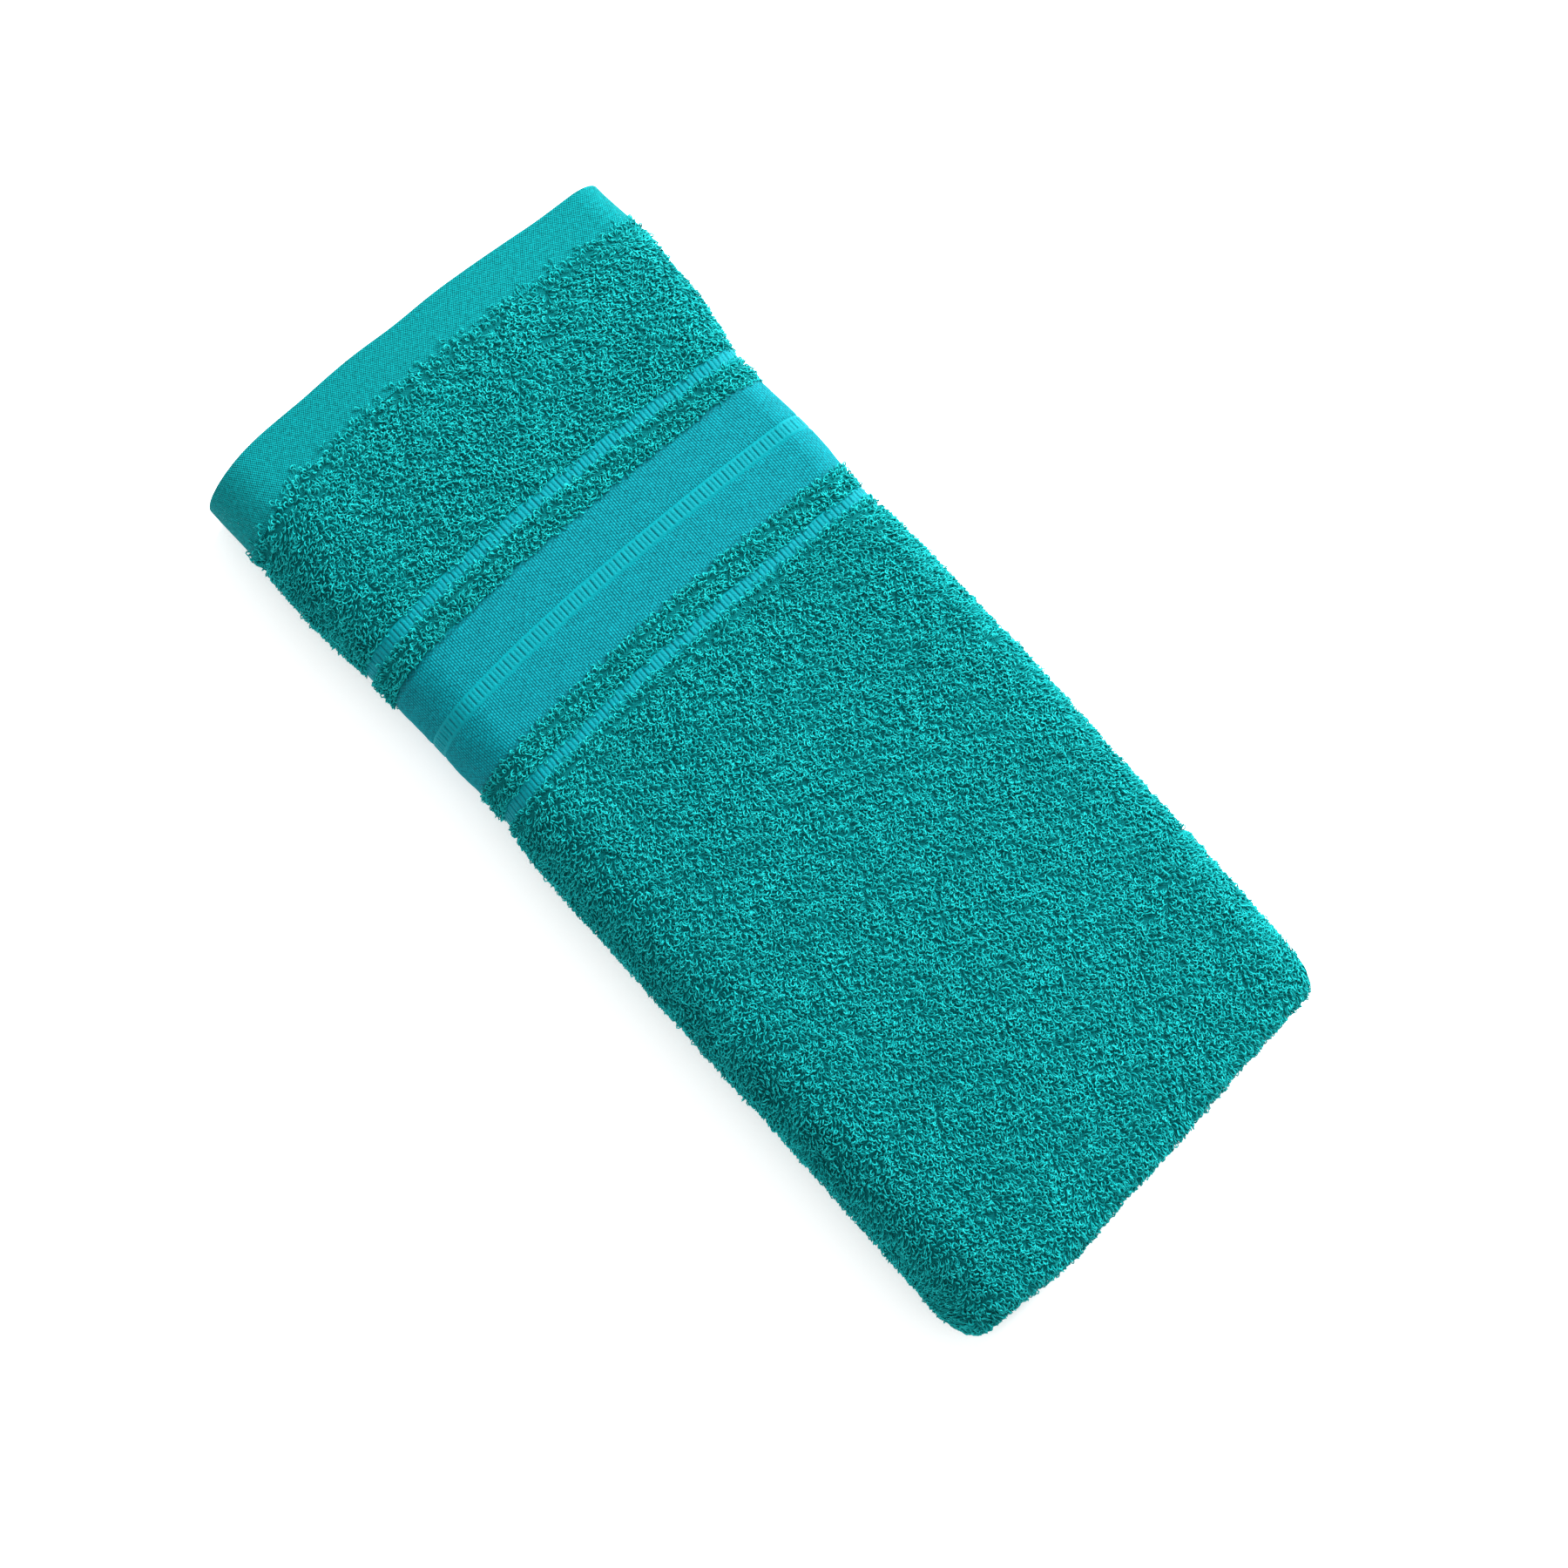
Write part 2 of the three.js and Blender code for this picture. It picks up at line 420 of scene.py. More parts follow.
def terry_loops(name, span, stretch, rows_apart, loops_apart, loop, material, spill=0.0):
    """Loops of pile yarn standing on the face of the cloth, in rows across it.
    span and stretch are (start, end) across the threads and along the cloth. loop holds the loop's
    length, half width, tilt and yarn radius, and how many sides and steps its tube has. spill is how
    far the last loops lie out over the band beside them, towards the hem."""
    rows = max(1, round((stretch[1] - stretch[0]) / rows_apart))
    columns = max(1, round((span[1] - span[0]) / loops_apart))
    column, row = np.meshgrid(np.arange(columns), np.arange(rows))
    column, row = column.ravel() + 0.5 * (row.ravel() % 2), row.ravel()
    count = column.size
    across_share = (column + 0.25 + chance.normal(0, 0.18, count)) / columns
    across_at = span[0] + across_share * (span[1] - span[0])
    along_share = (row + 0.5 + chance.normal(0, 0.14, count)) / rows
    along_at = stretch[0] + along_share * (stretch[1] - stretch[0])

    # the last loops lie over the next band in tufts, and those over the thick hem stand higher
    near_edge = ease(along_at, stretch[1] - 5 * MM, stretch[1])
    tufts = slow_noise(across_at, 0 * along_at, 7 * MM, 5) + slow_noise(across_at, along_at, 3 * MM, 6)
    along_at += spill * near_edge * np.clip(0.35 + 0.6 * tufts, -0.4, 1.2)
    root = np.zeros(count)
    if spill > MM:
        root = 0.6 * MM * ease(along_at, stretch[1] - 0.3 * MM, stretch[1] + MM)

    sides, steps = loop["sides"], loop["steps"]
    tall = loop["length"] * chance.normal(1, 0.13, count).clip(0.65, 1.4)
    wide = loop["half_width"] * chance.normal(1, 0.18, count).clip(0.6, 1.6)
    yarn = loop["yarn"] * chance.normal(1, 0.09, count)

    # the pile lies over in patches that run into each other, each loop a little its own way
    lie = 1.15 * slow_noise(across_at, along_at, 26 * MM, 1)
    lie += 0.9 * slow_noise(across_at, along_at, 8 * MM, 2)
    azimuth = -math.pi / 2 + 1.3 * lie + chance.normal(0, 0.55, count)
    if spill:
        towards_hem = math.pi / 2 + chance.normal(0, 0.9, count)
        azimuth = np.where(near_edge > 0.3, towards_hem, azimuth)
    tilt_patches = 0.16 * slow_noise(across_at, along_at, 13 * MM, 3)
    tilt = loop["tilt"] + tilt_patches + chance.normal(0, 0.22, count)
    twist = chance.normal(0, 0.55, count)

    # each loop's own directions: up its length, sideways in its plane, and out of its plane
    cos_tilt, sin_tilt = np.cos(tilt), np.sin(tilt)
    upwards = np.stack([sin_tilt * np.cos(azimuth), sin_tilt * np.sin(azimuth), cos_tilt], -1)
    level_side = np.stack([-np.sin(azimuth), np.cos(azimuth), np.zeros(count)], -1)
    other_side = np.cross(upwards, level_side)
    sideways = np.cos(twist)[:, None] * level_side + np.sin(twist)[:, None] * other_side
    off_plane = np.cross(upwards, sideways)

    # the line that the yarn follows
    turn = np.linspace(-1, 1, steps + 1) * LOOP_TURN
    rise = (1 + np.cos(turn)) / 2
    out = wide[:, None] * np.sin(turn) * (0.75 + 0.45 * rise)
    up = tall[:, None] * rise
    curl = 0.22 * MM * np.sin(turn) * chance.normal(0, 1, count)[:, None]
    line = out[..., None] * sideways[:, None] + up[..., None] * upwards[:, None]
    line = line + curl[..., None] * off_plane[:, None]

    # the tube of yarn round that line
    along = np.gradient(line, axis=1)
    along /= np.linalg.norm(along, axis=-1, keepdims=True)
    first = np.cross(along, off_plane[:, None])
    first /= np.linalg.norm(first, axis=-1, keepdims=True)
    second = np.cross(first, along)
    spoke = np.arange(sides) * 2 * math.pi / sides
    ring = first[:, :, None] * np.cos(spoke)[:, None] + second[:, :, None] * np.sin(spoke)[:, None]
    tube = line[:, :, None] + yarn[:, None, None, None] * ring
    c = course_at(across_at[:, None, None] + tube[..., 0])
    d = along_at[:, None, None] + tube[..., 1]
    points = place(c.ravel(), d.ravel(), (tube[..., 2] + root[:, None, None]).ravel())

    # marks for the material: how near its loop's top a point is, which sets how much painted shade it gets
    # towards the loop's foot, and the loop's own tone
    tip = np.broadcast_to((rise * cos_tilt[:, None])[:, :, None], (count, steps + 1, sides)).ravel()
    tip = np.clip(tip / math.cos(loop["tilt"]), 0, 1)
    tone = np.repeat(chance.uniform(0, 1, count), (steps + 1) * sides)
    quads = tube_walls(count, sides, steps, along_first=True)
    return new_piece(name, points, quads, material, {"tip": tip, "tone": tone})


def stitches(name, span, along, lift, material):
    """A row of lockstitches across the cloth: short rounded lengths of thread that dip into it."""
    stitch, pitch, radius = 2.3 * MM, 2.9 * MM, 0.22 * MM
    sides, steps = 6, 8
    count = round((span[1] - span[0]) / pitch)
    starts = span[0] + np.arange(count) * pitch
    share = np.linspace(0, 1, steps + 1)
    bow = np.sin(math.pi * share)
    spoke = np.arange(sides) * 2 * math.pi / sides
    girth = radius * np.sqrt(np.clip(bow, 0.15, 1))
    c = starts[:, None, None] + stitch * share[:, None] + 0 * spoke
    d = along + girth[:, None] * np.cos(spoke) + 0 * c
    n = lift - 0.35 * MM + 0.4 * MM * bow[:, None] + girth[:, None] * np.sin(spoke) + 0 * c
    points = place(course_at(c.ravel()), d.ravel(), n.ravel())
    quads = tube_walls(count, sides, steps, along_first=False)
    return new_piece(name, points, quads, material)


# ---------------------------------------------------------------- materials


def colour(code):
    """An sRGB hex colour as linear light."""
    parts = [int(code[i : i + 2], 16) / 255 for i in (1, 3, 5)]
    linear = [p / 12.92 if p <= 0.04045 else ((p + 0.055) / 1.055) ** 2.4 for p in parts]
    return (*linear, 1.0)


def add_node(material, kind, settings=None, inputs=None, links=None):
    """Adds a node with its settings, its input values and what its inputs are linked from."""
    tree = material.node_tree
    node = tree.nodes.new(kind)
    for key, value in (settings or {}).items():
        setattr(node, key, value)
    for key, value in (inputs or {}).items():
        node.inputs[key].default_value = value
    for key, source in (links or {}).items():
        tree.links.new(source, node.inputs[key])
    return node


def new_material(name):
    """An empty material made of nodes."""
    material = bpy.data.materials.new(name)
    material.use_nodes = True
    material.node_tree.nodes.clear()
    return material


def finish_material(material, shader):
    """Links the shader to the material's surface."""
    add_node(material, "ShaderNodeOutputMaterial", links={"Surface": shader.outputs[0]})
    return material


def terry_yarn(name, root, light, deep):
    """Soft carded cotton, ring spun and woven as uncut loops. The eye gets bright loop tops over roots
    painted dark as shade, small differences from loop to loop, and a pale bloom of fibre ends at the
    silhouette."""
    material = new_material(name)
    tip = add_node(material, "ShaderNodeAttribute", {"attribute_name": "tip"})
    tone = add_node(material, "ShaderNodeAttribute", {"attribute_name": "tone"})
    geometry = add_node(material, "ShaderNodeNewGeometry")
    # patches a few centimetres wide where the pile was pressed or has faded
    patches = add_node(
        material, "ShaderNodeTexNoise", inputs={"Scale": 45.0, "Detail": 2.0},
        links={"Vector": geometry.outputs["Position"]},
    )
    loop_tone = add_node(
        material, "ShaderNodeMix", {"data_type": "RGBA"},
        {"A": colour(deep), "B": colour(light)}, {"Factor": tone.outputs["Fac"]},
    )
    patched = add_node(
        material, "ShaderNodeMix", {"data_type": "RGBA", "blend_type": "MULTIPLY"},
        {"Factor": 0.35}, {"A": loop_tone.outputs["Result"], "B": patches.outputs["Fac"]},
    )
    # painted shade: the colour darkens to the root colour towards each loop's foot, where shade falls
    # between the loops
    yarn_colour = add_node(
        material, "ShaderNodeMix", {"data_type": "RGBA"},
        {"A": colour(root)}, {"Factor": tip.outputs["Fac"], "B": patched.outputs["Result"]},
    )
    shader = add_node(
        material, "ShaderNodeBsdfPrincipled",
        inputs={
            "Roughness": 0.9, "IOR": 1.45, "Specular IOR Level": 0.08, "Sheen Weight": 0.2,
            "Sheen Roughness": 0.5, "Sheen Tint": colour("#1fb0ae"),
        },
        links={"Base Color": yarn_colour.outputs["Result"]},
    )
    return finish_material(material, shader)


def wave(material, source, per_mm):
    """A sine of a distance in millimetres that repeats per_mm times in each."""
    scaled = add_node(
        material, "ShaderNodeMath", {"operation": "MULTIPLY"}, {1: 2 * math.pi * per_mm}, {0: source}
    )
    return add_node(material, "ShaderNodeMath", {"operation": "SINE"}, links={0: scaled.outputs[0]})


def woven_cloth(name, light, dark, across_mm, along_mm, weave_share, roughness, raised_mm):
    """A flat weave. across_mm and along_mm are how far its pattern takes to repeat each way: the eye
    gets a fine grid of raised threads, with painted light on top and painted shade between, and a slight
    mottle. The towel's own raised ribs and bars are in its mesh, which marks how high they stand, and so
    their painted light on top and painted shade between; weave_share is how much of the tone comes from the
    grid and not from that mark."""
    material = new_material(name)
    threads = add_node(material, "ShaderNodeAttribute", {"attribute_name": "threads"})
    painted_relief_shade = add_node(material, "ShaderNodeAttribute", {"attribute_name": "painted_relief_shade"})
    split = add_node(material, "ShaderNodeSeparateXYZ", links={0: threads.outputs["Vector"]})
    warp = wave(material, split.outputs["X"], 1 / across_mm)
    weft = wave(material, split.outputs["Y"], 1 / along_mm)
    crossing = add_node(
        material, "ShaderNodeMath", {"operation": "MULTIPLY"}, links={0: warp.outputs[0], 1: weft.outputs[0]}
    )
    weave = add_node(
        material, "ShaderNodeMapRange", inputs={"From Min": -0.8, "From Max": 0.8},
        links={"Value": crossing.outputs[0]},
    )
    uneven = add_node(
        material, "ShaderNodeTexNoise", inputs={"Scale": 0.8, "Detail": 4.0},
        links={"Vector": threads.outputs["Vector"]},
    )
    mottled = add_node(
        material, "ShaderNodeMapRange", inputs={"From Min": 0.3, "From Max": 0.7},
        links={"Value": uneven.outputs["Fac"]},
    )
    tone = add_node(
        material, "ShaderNodeMix", {"data_type": "FLOAT"}, {"Factor": weave_share},
        {"A": painted_relief_shade.outputs["Fac"], "B": weave.outputs[0]},
    )
    mixed_tone = add_node(
        material, "ShaderNodeMix", {"data_type": "FLOAT"}, {"Factor": 0.32},
        {"A": tone.outputs["Result"], "B": mottled.outputs[0]},
    )
    # painted light and shade: the dark colour lies between the threads and in the grooves, the light colour
    # on the raised threads
    cloth_colour = add_node(
        material, "ShaderNodeMix", {"data_type": "RGBA"},
        {"A": colour(dark), "B": colour(light)}, {"Factor": mixed_tone.outputs["Result"]},
    )
    bump = add_node(
        material, "ShaderNodeBump", inputs={"Strength": 0.9, "Distance": raised_mm * MM},
        links={"Height": weave.outputs[0]},
    )
    shader = add_node(
        material, "ShaderNodeBsdfPrincipled",
        inputs={
            "Roughness": roughness, "IOR": 1.45, "Specular IOR Level": 0.06, "Sheen Weight": 0.1,
            "Sheen Roughness": 0.5, "Sheen Tint": colour("#06b6b8"),
        },
        links={"Base Color": cloth_colour.outputs["Result"], "Normal": bump.outputs[0]},
    )
    return finish_material(material, shader)


# Cotton terry: bright loop tops over roots painted dark as shade
pile_cotton = terry_yarn("carded_cotton_terry_loops", root="#027375", light="#1cb1b1", deep="#059395")
# Plain weave below the loops: a matt floor to the pile, painted dark as the shade in the holes between the
# loops
shaded_ground_cotton = woven_cloth(
    "plain_woven_cotton_ground_painted_shade", light="#01686a", dark="#014d50",
    across_mm=0.9, along_mm=0.7, weave_share=0.5, roughness=0.9, raised_mm=0.25,
)
# Plain weave with threads 0.4 mm apart one way and 0.6 mm the other, two to a repeat: a fine, even,
# matt grid, painted light on the threads and dark between them as painted shade
hem_cotton = woven_cloth(
    "plain_woven_cotton_hem", light="#05969b", dark="#001b1f",
    across_mm=0.82, along_mm=1.15, weave_share=0.75, roughness=0.85, raised_mm=0.35,
)
# Mercerised cotton: bluer and a little smoother. Two ribs go to a repeat, so that the crossing threads
# pass over one rib and under the next. Its dark colour is painted shade between the ribs
border_cotton = woven_cloth(
    "ribbed_mercerised_cotton_border", light="#008f9b", dark="#002129",
    across_mm=1.94, along_mm=1.3, weave_share=0.34, roughness=0.65, raised_mm=0.12,
)
# Long floats of the same yarn: the smoothest and bluest weave, with hardly any grid, and painted shade in
# the gaps
ladder_cotton = woven_cloth(
    "floated_mercerised_cotton_bars", light="#007f88", dark="#004a54",
    across_mm=0.81, along_mm=0.9, weave_share=0.14, roughness=0.6, raised_mm=0.05,
)
# Spun polyester: a slightly shinier thread with a fine twist
thread_polyester = woven_cloth(
    "spun_polyester_sewing_thread", light="#067579", dark="#03595c",
    across_mm=0.5, along_mm=0.5, weave_share=0.3, roughness=0.7, raised_mm=0.25,
)

# ---------------------------------------------------------------- the towel's pieces

TERRY_BANDS = ("end_terry", "outer_terry_strip", "inner_terry_strip")
FLAT_BANDS = ("outer_flat_border", "inner_flat_border")
LADDER_BANDS = ("outer_ladder_stripe", "centre_ladder_stripe", "inner_ladder_stripe")
GROUND_THICKNESS = 0.5 * MM
HEM_THICKNESS = 1.7 * MM
SIDE_HEM_THICKNESS = 1.6 * MM
SIDE_HEM_WIDTH = 8 * MM
RIB_PITCH = 0.97 * MM
BAR_PITCH = 1.78 * MM
# The back of a band lies this far into the ground cloth
BAND_BACK = -0.2 * MM
# How far between two points of a mesh: on straight cloth, round the rolls and round the small folds
STRAIGHT_STEP = 5 * MM
ROLL_STEP = 2.2 * MM
FOLD_STEP = 0.9 * MM


def loop_kind(length, half_width, tilt, yarn, steps):
    """A kind of terry loop: its sizes in mm, how far it leans in radians, and its tube's steps."""
    return {
        "length": length * MM, "half_width": half_width * MM, "tilt": tilt, "yarn": yarn * MM,
        "sides": 3, "steps": steps,
    }


LIVELY_LOOP = loop_kind(2.3, 0.62, 0.92, 0.265, 6)
ROLLED_LOOP = loop_kind(2.3, 0.66, 0.66, 0.27, 6)
INNER_LOOP = loop_kind(2.3, 0.75, 0.9, 0.3, 5)
PRESSED_LOOP = loop_kind(2.0, 0.9, 1.15, 0.3, 5)

# The parts of the folded width: the spans that each one runs over, its loops, how far apart they
# stand across and along the cloth, and the half of the towel that it moves with, if it isn't a roll
PARTS = {
    "top": {
        "spans": ("top", "right"), "loop": LIVELY_LOOP,
        "loops_apart": 0.94 * MM, "rows_apart": 1.42 * MM, "body": "upper_half",
    },
    "left_outer": {
        "spans": ("left_outer", "left_outer"), "loop": ROLLED_LOOP,
        "loops_apart": 1.0 * MM, "rows_apart": 1.7 * MM, "body": None,
    },
    "second": {
        "spans": ("second", "second"), "loop": INNER_LOOP,
        "loops_apart": 1.7 * MM, "rows_apart": 2.6 * MM, "body": "upper_half",
    },
    "left_inner": {
        "spans": ("left_inner", "left_inner"), "loop": INNER_LOOP,
        "loops_apart": 0.8 * MM, "rows_apart": 2.4 * MM, "body": None,
    },
    "third": {
        "spans": ("third", "third"), "loop": INNER_LOOP,
        "loops_apart": 1.7 * MM, "rows_apart": 2.6 * MM, "body": "lower_half",
    },
    "bottom": {
        "spans": ("bottom", "bottom"), "loop": PRESSED_LOOP,
        "loops_apart": 2.0 * MM, "rows_apart": 2.8 * MM, "body": "lower_half",
    },
}


def attach(piece, part):
    """Makes a piece move with its half of the towel, or, for a roll, leaves it on its own with its place set
    into its mesh.
    """
    body = PARTS[part]["body"]
    if body:
        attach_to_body(piece, body)
    else:
        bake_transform(piece)
    return piece


def course_span(part):
    """Where a part starts and ends across the cloth."""
    first, last = PARTS[part]["spans"]
    return across[first][0], across[last][1]


def thread_span(part):
    """Where a part starts and ends, counted across the end leaf's threads."""
    start, end = course_span(part)
    return float(threads_at(start)), float(threads_at(end))


def ground_cloth(part):
    """The woven ground that the loops stand on, through all four leaves and their folds."""
    start, end = course_span(part)
    hidden_edge = 0.4 * MM
    piece = thin_sheet(
        part + "_ground_cloth",
        stations(crosswise, start, end, 6 * MM, ROLL_STEP),
        stations(lengthwise, hidden_edge, cloth_length - hidden_edge, STRAIGHT_STEP, FOLD_STEP),
        lambda c, d: np.full_like(c, GROUND_THICKNESS / 2),
        lambda c, d: np.full_like(c, -GROUND_THICKNESS / 2),
        shaded_ground_cotton, one_skin=True,
    )
    attach(piece, part)
    return piece


def hem_band(part):
    """The flat woven end, turned under twice and sewn, with a round edge."""
    start, end = band_span["hem_band"]
    course_stops = course_at(np.arange(*thread_span(part), 1.1 * MM))
    course_stops = np.unique(np.append(course_stops, course_span(part)[1]))
    # points stand closer together round the hem's edge
    edge_stops = end * (1 - np.cos(np.linspace(0, math.pi / 2, 9))) * 0.12
    inner_stops = np.arange(edge_stops[-1] + 0.6 * MM, end + 0.2 * MM, 0.9 * MM)
    length_stops = cloth_length - np.concatenate([edge_stops, inner_stops])[::-1]

    def half(c, d):
        return rounded_edge(cloth_length - d, HEM_THICKNESS)

    def face(c, d):
        near_seam = ease(cloth_length - d, 10 * MM, 17 * MM)
        puckers = 0.12 * MM * np.sin(0.9 * threads_at(c) / MM)
        return half(c, d) + puckers * near_seam

    piece = thin_sheet(
        part + "_hem_band", course_stops, length_stops,
        face, lambda c, d: -half(c, d), hem_cotton,
    )
    return attach(piece, part)


def inner_hem(part):
    """The hem at the towel's other end, folded inside."""
    course_stops = stations(crosswise, *course_span(part), STRAIGHT_STEP, ROLL_STEP)
    length_stops = np.concatenate([np.linspace(0, 1.2, 7), np.linspace(2, 19.5, 9)]) * MM

    def half(c, d):
        return rounded_edge(d, HEM_THICKNESS)

    piece = thin_sheet(
        part + "_inner_hem", course_stops, length_stops,
        half, lambda c, d: -half(c, d), hem_cotton,
    )
    return attach(piece, part)


def fine_stops(part, pitch):
    """Distances across one part of the cloth that show threads one pitch apart: smoothly where they
    are seen, and with three steps to a thread inside and below."""
    steps = round(pitch / (0.14 * MM)) if part in ("top", "left_outer") else 3
    stops = course_at(np.arange(*thread_span(part), pitch / steps))
    return np.unique(np.append(stops, course_span(part)[1]))


def flat_border(part, band):
    """The flat border: fine ribs that run along the towel and wander a little, in cloth that is
    softly rucked, with a plain edge beside each terry strip."""
    start, end = band_span[band]
    length_stops = cloth_length - np.linspace(end, start, 38)

    def rib(c, d):
        """How high the ribs stand, from 0 between them to 1 on top."""
        t, s = threads_at(c), cloth_length - d
        wander = 0.16 * slow_noise(t, s, 25 * MM, 11)
        ridge = 0.5 - 0.5 * np.cos(2 * math.pi * (t / RIB_PITCH + wander))
        plain_side = start if band == "outer_flat_border" else end
        return ridge * ease(np.abs(s - plain_side), 1.2 * MM, 2.4 * MM)

    def rucks(t, s):
        """The soft rucks in the cloth, longer across the towel than along it."""
        return slow_noise(t + 0.5 * s, 2 * s, 12 * MM, 13)

    def face(c, d):
        t, s = threads_at(c), cloth_length - d
        from_edge = np.minimum(s - start, end - s)
        ruck = 0.08 * rucks(t, s) + 0.03 * slow_noise(t, s, 4 * MM, 14)
        sewn_down = 0.25 * ease(from_edge, MM, 0)
        return MM * (0.55 + 0.19 * rib(c, d) + ruck * ease(from_edge, 0, 3 * MM) - sewn_down)

    def painted_relief_shade(c, d):
        """How light the threads are painted, from 0 to 1: painted light on the ribs, painted shade between
        them, and a little painted light and shade on the rucks.
        """
        t, s = threads_at(c), cloth_length - d
        return np.clip(0.12 + 0.72 * rib(c, d) + 0.05 * rucks(t, s), 0, 1)

    piece = thin_sheet(
        part + "_" + band, fine_stops(part, RIB_PITCH), length_stops,
        face, lambda c, d: np.full_like(c, BAND_BACK), border_cotton, painted_relief_shade,
    )
    return attach(piece, part)


def ladder_stripe(part, band):
    """A stripe of bars, where groups of warp threads float over the weft side by side. The gaps
    between them are deep and shallow in turn, so the bars stand in pairs."""
    start, end = band_span[band]
    length_stops = cloth_length - np.linspace(end, start, 21)
    margin = 0.7 * MM if band != "centre_ladder_stripe" else 1.2 * MM

    def bar(c, d):
        """How high the bars stand, from 0 in a deep gap to 1 on top."""
        t, s = threads_at(c), cloth_length - d
        turn = math.pi * (t / BAR_PITCH + 0.25 * slow_noise(t, s, 30 * MM, 21))
        gap = hump(np.sin(turn), 0, 0.55) * (0.75 + 0.25 * np.cos(turn))
        from_edge = np.minimum(s - start, end - s)
        return 1 - gap * ease(from_edge, 0.5 * margin, 1.3 * margin)

    def face(c, d):
        s = cloth_length - d
        from_edge = np.minimum(s - start, end - s)
        return MM * (0.36 + 0.38 * bar(c, d) * ease(from_edge, 0, 0.8 * margin))

    # the bars' height is also their colour: painted light on top and painted shade in the gaps
    piece = thin_sheet(
        part + "_" + band, fine_stops(part, BAR_PITCH), length_stops,
        face, lambda c, d: np.full_like(c, BAND_BACK), ladder_cotton, bar,
    )
    return attach(piece, part)


def side_hem(part):
    """The narrow hem along the towel's side, turned under and sewn, through every leaf and fold."""
    round_edge = np.linspace(0, 1.1 * MM, 6)
    inside_stops = np.linspace(2 * MM, SIDE_HEM_WIDTH, 4)
    offsets = np.concatenate([round_edge, inside_stops])
    at_start = part == "bottom"
    course_stops = offsets if at_start else cloth_width - offsets[::-1]
    length_stops = stations(lengthwise, 0.0, cloth_length, 4 * MM, FOLD_STEP)

    def half(c, d):
        inside = c if at_start else cloth_width - c
        thinner = 0.4 * ease(inside, 0.8 * SIDE_HEM_WIDTH, SIDE_HEM_WIDTH)
        return rounded_edge(inside, SIDE_HEM_THICKNESS) * (1 - thinner)

    piece = thin_sheet(
        part + "_side_hem", course_stops, length_stops,
        half, lambda c, d: -half(c, d), hem_cotton,
    )
    return attach(piece, part)


MOST_LOOPS = 3400


def pile(part, label, stretch, spill=0.0):
    """Terry loops on one stretch of the cloth's face, as pieces of no more than MOST_LOOPS loops."""
    loop, loops_apart, rows_apart = (PARTS[part][key] for key in ("loop", "loops_apart", "rows_apart"))
    span = thread_span(part)
    area = (span[1] - span[0]) * (stretch[1] - stretch[0])
    count = math.ceil(area / (loops_apart * rows_apart * MOST_LOOPS))
    edges = np.linspace(stretch[0], stretch[1], count + 1)
    pieces = []
    for i in range(count):
        name = f"{part}_{label}_{i + 1}"
        reach = spill if i == count - 1 else 0.0
        piece = terry_loops(
            name, span, edges[i : i + 2], rows_apart, loops_apart, loop, pile_cotton, reach
        )
        pieces.append(attach(piece, part))
    return pieces


def band_stretch(band):
    """Where a band starts and ends along the cloth."""
    start, end = band_span[band]
    return cloth_length - end, cloth_length - start


# The terry panel runs from the last ladder stripe, round the end fold and a little way under it
under_fold = 10 * MM
fold_length = math.pi * 1.5 * leaf_pitch
panel_end = (hem_y - end_fold_y) + fold_length + under_fold
panel_stretch = (cloth_length - panel_end, cloth_length - panel_start)
# The back fold's loops run a little way to both sides of its middle
back_fold_middle = sum(part["length"] for part in lengthwise[:3]) + lengthwise[3]["length"] / 2
back_reach = 7 * MM
back_stretch = (back_fold_middle - back_reach, back_fold_middle + back_reach)
# How far loops hang over the next band: far over the hem, and little over the stripes
HEM_SPILL = 3.2 * MM
STRIPE_SPILL = 0.9 * MM

for part in PARTS:
    ground_cloth(part)
    hem_band(part)
    inner_hem(part)
    for band in FLAT_BANDS:
        flat_border(part, band)
    for band in LADDER_BANDS:
        ladder_stripe(part, band)
    for band in TERRY_BANDS:
        spill = HEM_SPILL if band == "end_terry" else STRIPE_SPILL
        pile(part, band, band_stretch(band), spill)
    pile(part, "terry_panel", panel_stretch, STRIPE_SPILL)
    pile(part, "back_fold_loops", back_stretch)

for part in ("bottom", "third"):
    side_hem(part)

# The hem is sewn 2 mm from its inner edge
hem_seam = cloth_length - band_span["hem_band"][1] + 2.0 * MM
for part in ("left_outer", "top"):
    seam = stitches(
        part + "_hem_stitches", thread_span(part), hem_seam, HEM_THICKNESS / 2, thread_polyester
    )
    attach(seam, part)

# Each plain solid of the CAD model is replaced by the piece that stands for it
for band in FLAT_BANDS + LADDER_BANDS:
    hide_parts("top_" + band)
for band in TERRY_BANDS:
    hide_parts("top_" + band)
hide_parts("top_hem_band")
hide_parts("top_hem_thread")
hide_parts("top_terry_panel", "top_outer_end_fold")
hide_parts("top_back_fold")
LEAVES = ("inner_hem_leaf", "inner_middle_leaf", "outer_middle_leaf", "inner_end_fold")
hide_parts(*["top_" + leaf for leaf in LEAVES])
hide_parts(*[f"right_fold_{i}" for i in range(1, 5)])
for part in ("second", "third", "bottom"):
    others = LEAVES + ("outer_hem_leaf", "outer_end_fold", "back_fold")
    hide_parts(*[part + "_" + leaf for leaf in others])
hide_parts(*[f"left_fold_{i}" for i in range(1, 5)])
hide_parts(*[f"left_fold_{i}" for i in range(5, 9)])

# ---------------------------------------------------------------- floor, light and camera


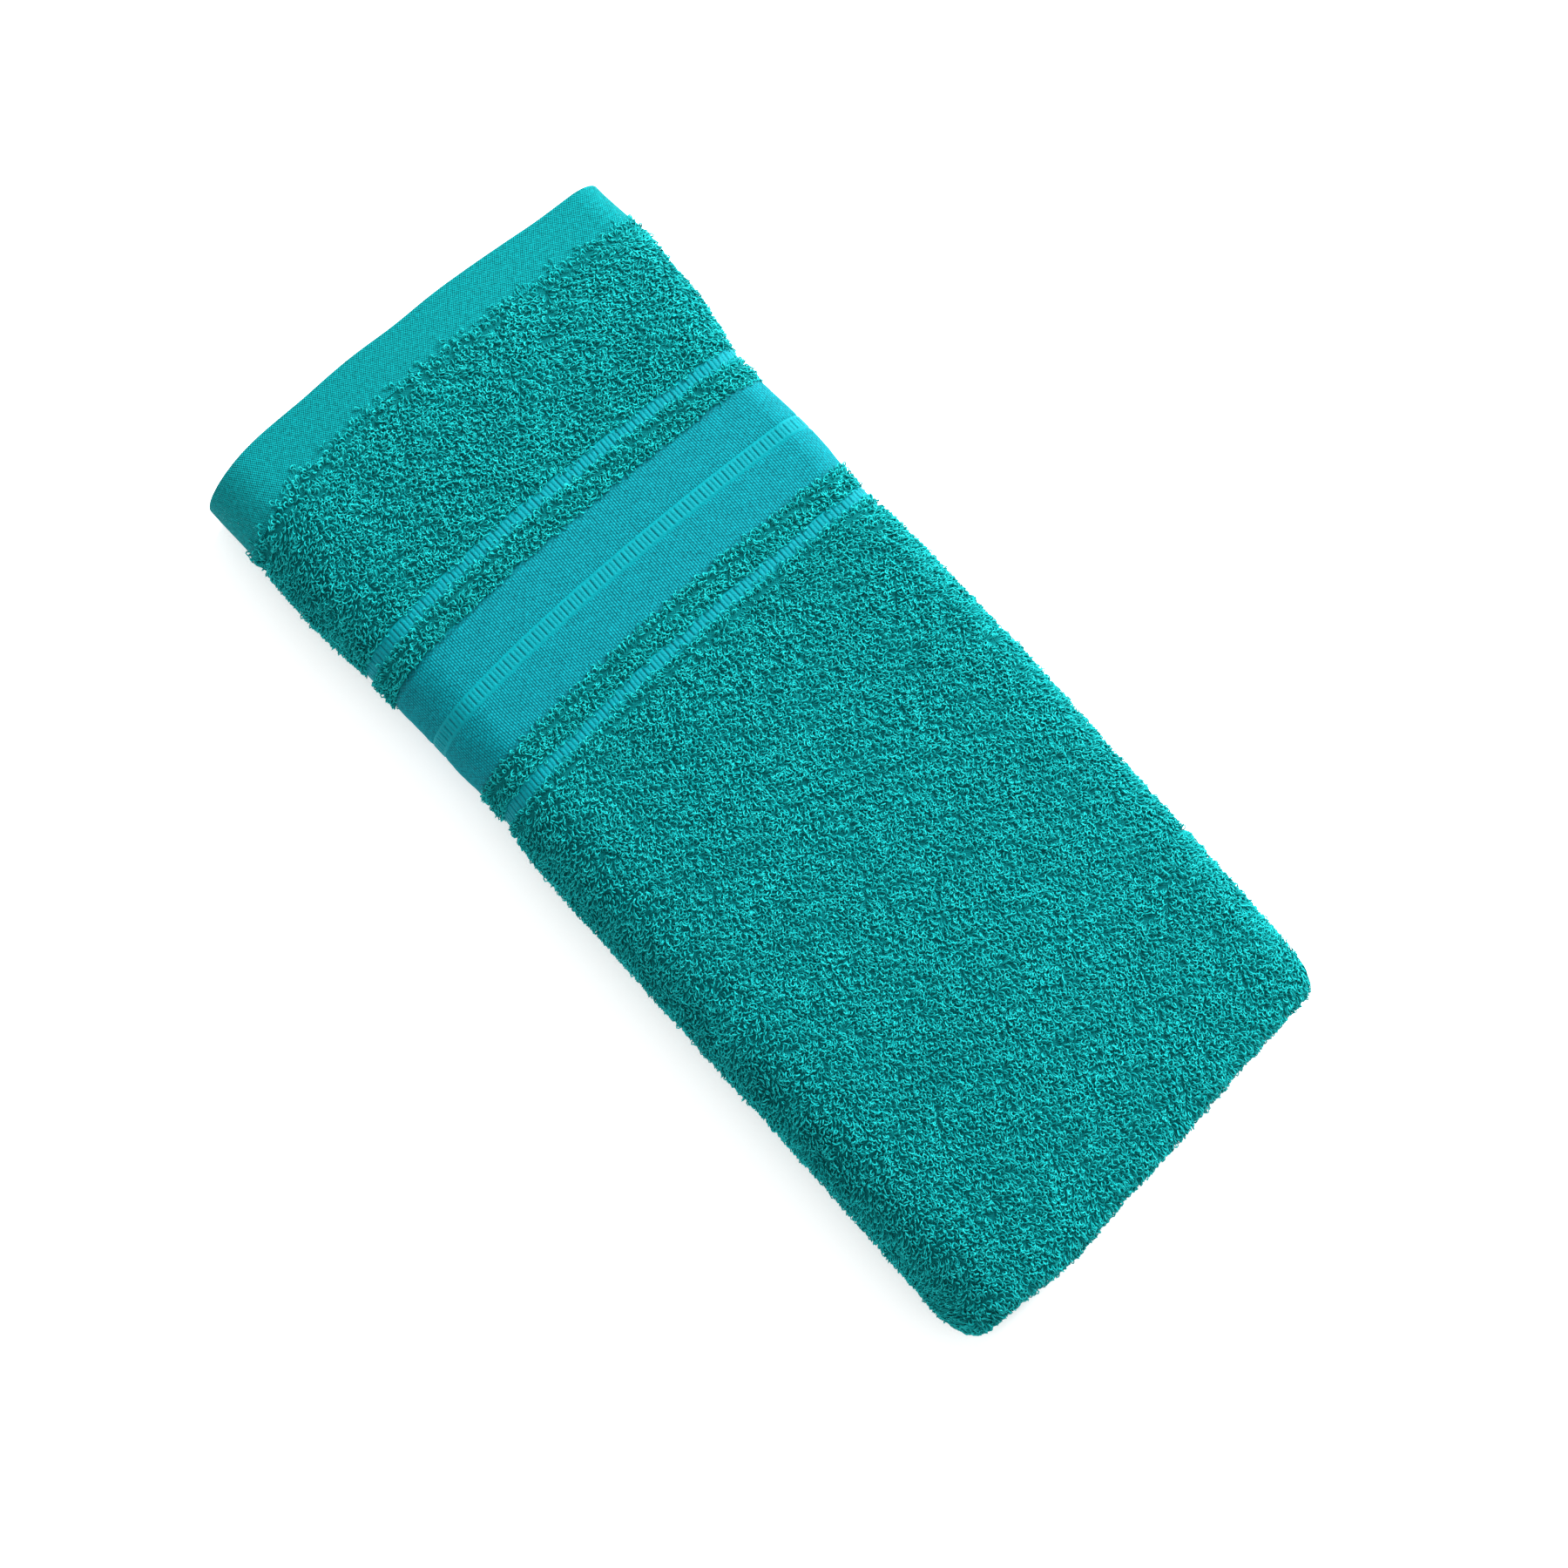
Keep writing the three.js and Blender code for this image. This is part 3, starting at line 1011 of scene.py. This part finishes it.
def floor():
    """A light table: white acrylic lit a little from below, which keeps the shadow faint."""
    mesh = bpy.data.meshes.new("studio_floor")
    reach = 6.0
    corners = [(-reach, -reach, 0), (reach, -reach, 0), (reach, reach, 0), (-reach, reach, 0)]
    mesh.from_pydata(corners, [], [(0, 1, 2, 3)])
    material = new_material("backlit_white_acrylic")
    shader = add_node(
        material, "ShaderNodeBsdfPrincipled",
        inputs={
            "Base Color": colour("#f6f6f6"), "Roughness": 0.9, "Emission Color": colour("#ffffff"),
            "Emission Strength": 0.25,
        },
    )
    mesh.materials.append(finish_material(material, shader))
    plane = bpy.data.objects.new("studio_floor", mesh)
    bpy.context.scene.collection.objects.link(plane)


def soft_box(name, stands_at, size, power):
    """A square soft light that looks at the middle of the towel's place on the floor."""
    light = bpy.data.lights.new(name, "AREA")
    light.size = size
    light.energy = power
    lamp = bpy.data.objects.new(name, light)
    lamp.location = stands_at
    lamp.rotation_mode = "QUATERNION"
    lamp.rotation_quaternion = (-Vector(stands_at)).to_track_quat("-Z", "Y")
    bpy.context.scene.collection.objects.link(lamp)


def room_light(strength):
    """Even white light from all round."""
    world = bpy.data.worlds.new("studio")
    world.use_nodes = True
    background = world.node_tree.nodes["Background"]
    background.inputs["Color"].default_value = colour("#ffffff")
    background.inputs["Strength"].default_value = strength
    bpy.context.scene.world = world


def camera(aim, azimuth, elevation, distance, lens):
    """A camera that looks at aim from an azimuth and an elevation in degrees."""
    turn, rise = math.radians(azimuth), math.radians(elevation)
    back = Vector((math.sin(turn) * math.cos(rise), -math.cos(turn) * math.cos(rise), math.sin(rise)))
    data = bpy.data.cameras.new("camera")
    data.lens = lens
    eye = bpy.data.objects.new("camera", data)
    eye.location = aim + back * distance
    eye.rotation_mode = "QUATERNION"
    eye.rotation_quaternion = (-back).to_track_quat("-Z", "Y")
    bpy.context.scene.collection.objects.link(eye)
    bpy.context.scene.camera = eye


floor()
soft_box("key_soft_box", stands_at=(1.9, 0.55, 1.35), size=1.4, power=190)
soft_box("fill_soft_box", stands_at=(-0.8, -0.7, 2.2), size=2.2, power=12)
room_light(0.9)
camera(Vector((-0.0033, -0.015, height / 2)), azimuth=-41.6, elevation=80, distance=1.30, lens=85)
bpy.context.scene.view_settings.view_transform = "Standard"
